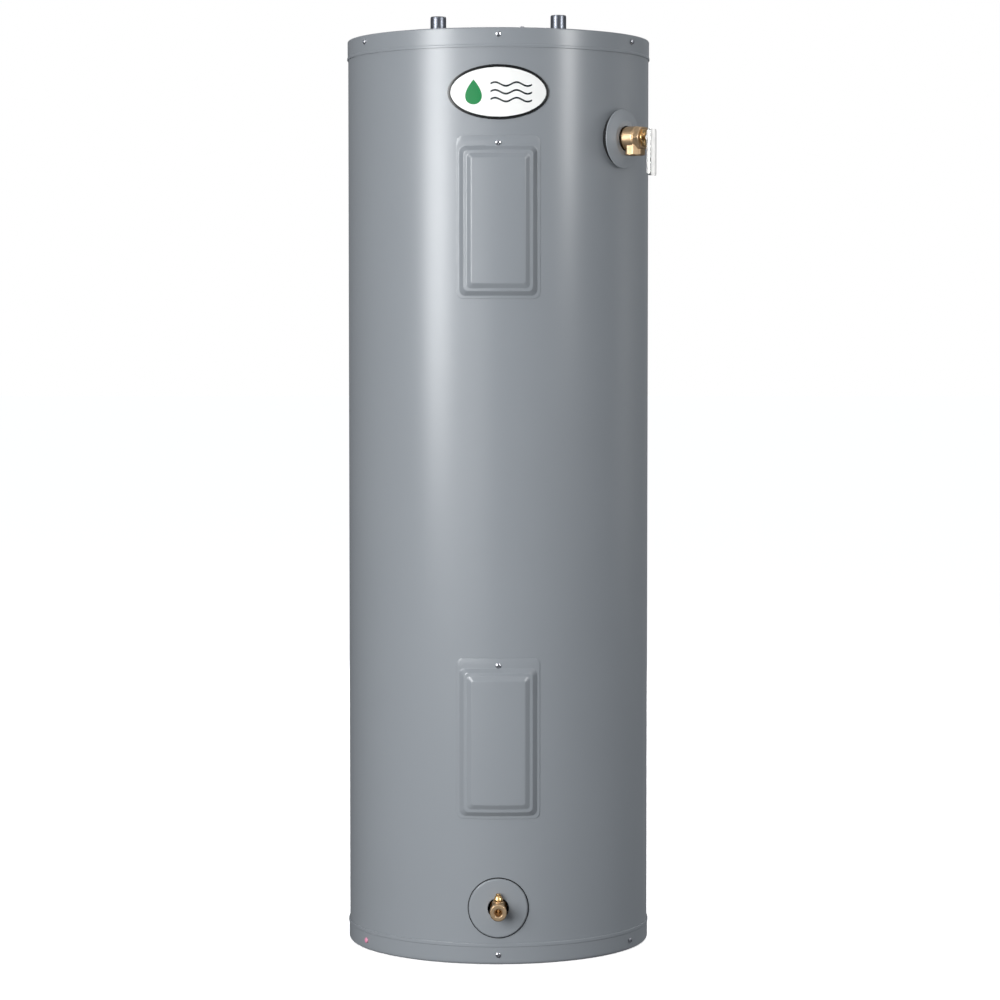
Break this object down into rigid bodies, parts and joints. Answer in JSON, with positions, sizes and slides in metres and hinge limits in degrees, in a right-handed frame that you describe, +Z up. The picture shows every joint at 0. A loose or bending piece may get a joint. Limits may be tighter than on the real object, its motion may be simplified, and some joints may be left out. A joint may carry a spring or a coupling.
{
  "type": "tank water heater",
  "caption": "Tall round electric storage water heater with stamped access covers, side relief valve, top pipe nipples and a drain cock.",
  "frame": {"origin": "centre of the underside of the base pan, on the tank's axis", "axes": "+Z up along the tank's axis; -Y towards the front, where the access covers and the drain cock are; +X towards the hot outlet and the relief valve"},
  "size_m": [0.5152, 0.5612, 1.5695],
  "materials": {
    "grey_enamel": "semi-gloss baked enamel",
    "badge_face": "printed, satin",
    "foam": "rigid foam, matt",
    "seal_foam": "soft foam, matt",
    "fibreglass": "matt",
    "tank_steel": "bare rolled steel",
    "zinc_plate": "bright zinc",
    "screw_zinc": "bright zinc",
    "nickel_plate": "bright nickel",
    "brass": "cast and turned",
    "spring_steel": "drawn wire",
    "rubber": "matt",
    "magnesium": "extruded, dull",
    "dip_tube_plastic": "extruded",
    "phenolic": "moulded",
    "dial_plastic": "moulded",
    "red_plastic": "moulded",
    "guard_plastic": "moulded",
    "wire_pvc": "extruded"
  },
  "bodies": {
    "tank": {"jacket": "grey_enamel", "top_cap": "grey_enamel", "base_pan": "grey_enamel", "foam_insulation": "foam", "tank_shell": "tank_steel", "tank_top_head": "tank_steel", "tank_bottom_head": "tank_steel", "cold_inlet_nipple": "zinc_plate", "hot_outlet_nipple": "zinc_plate", "dip_tube": "dip_tube_plastic", "anode_rod": "magnesium", "upper_element": "zinc_plate", "lower_element": "zinc_plate", "upper_element_gasket": "rubber", "lower_element_gasket": "rubber", "upper_thermostat": "phenolic", "lower_thermostat": "phenolic", "high_limit_control": "phenolic", "upper_terminal_guard": "guard_plastic", "lower_terminal_guard": "guard_plastic", "junction_box": "zinc_plate", "junction_box_cover": "grey_enamel", "junction_cover_screw": "screw_zinc", "upper_wire_harness": "wire_pvc", "lower_wire_harness": "wire_pvc", "badge": "badge_face", "drain_escutcheon": "grey_enamel", "drain_valve_body": "brass", "drain_packing_nut": "brass", "relief_escutcheon": "grey_enamel", "relief_seal": "seal_foam", "relief_valve_body": "brass", "relief_bonnet": "brass", "relief_spring": "spring_steel", "cap_screw_1": "screw_zinc", "cap_screw_2": "screw_zinc", "cap_screw_3": "screw_zinc", "cap_screw_4": "screw_zinc", "cap_screw_5": "screw_zinc", "cap_screw_6": "screw_zinc", "base_screw_1": "screw_zinc", "base_screw_2": "screw_zinc", "base_screw_3": "screw_zinc", "base_screw_4": "screw_zinc", "base_screw_5": "screw_zinc", "base_screw_6": "screw_zinc"},
    "upper_cover": {"upper_access_cover": "grey_enamel", "upper_cover_screw": "screw_zinc", "upper_insulation_pad": "fibreglass"},
    "lower_cover": {"lower_access_cover": "grey_enamel", "lower_cover_screw": "screw_zinc", "lower_insulation_pad": "fibreglass"},
    "upper_dial": {"upper_thermostat_dial": "dial_plastic"},
    "lower_dial": {"lower_thermostat_dial": "dial_plastic"},
    "reset_button": {"reset_button": "red_plastic"},
    "relief_stem": {"relief_stem": "brass"},
    "relief_lever": {"relief_lever": "nickel_plate", "relief_lever_pin": "nickel_plate"},
    "drain_plug": {"drain_plug": "brass"}
  },
  "joints": [
    {"name": "relief_stem_lift", "type": "slide", "parent": "tank", "child": "relief_stem", "axis": [0.7923, -0.6101, 0], "range_m": [0, 0.0045], "stiffness_N_per_m": 20, "springref_m": -0.005, "deforming": ["relief_spring"]},
    {"name": "relief_lever_swing", "type": "hinge", "parent": "relief_stem", "child": "relief_lever", "pos_m": [0.24957, -0.1922, 1.351], "axis": [-0.6101, -0.7923, 0], "range_deg": [0, 80]},
    {"name": "drain_plug_turn", "type": "hinge", "parent": "tank", "child": "drain_plug", "pos_m": [0, -0.27, 0.0936], "axis": [0, 0, 1], "range_deg": [0, 90]},
    {"name": "upper_dial_turn", "type": "hinge", "parent": "tank", "child": "upper_dial", "pos_m": [0, -0.2212, 1.197], "axis": [0, 1, 0], "range_deg": [-135, 135]},
    {"name": "lower_dial_turn", "type": "hinge", "parent": "tank", "child": "lower_dial", "pos_m": [0, -0.2212, 0.3495], "axis": [0, 1, 0], "range_deg": [-135, 135]},
    {"name": "reset_button_press", "type": "slide", "parent": "tank", "child": "reset_button", "axis": [0, 1, 0], "range_m": [0, 0.002], "stiffness_N_per_m": 400, "springref_m": -0.002},
    {"name": "upper_cover_removal", "type": "slide", "parent": "tank", "child": "upper_cover", "axis": [0, -1, 0], "range_m": [0, 0.15]},
    {"name": "lower_cover_removal", "type": "slide", "parent": "tank", "child": "lower_cover", "axis": [0, -1, 0], "range_m": [0, 0.15]}
  ],
  "couplings": [
    {"joint": "relief_stem_lift", "follows": "relief_lever_swing", "m_per_rad": 0.0032}
  ]
}
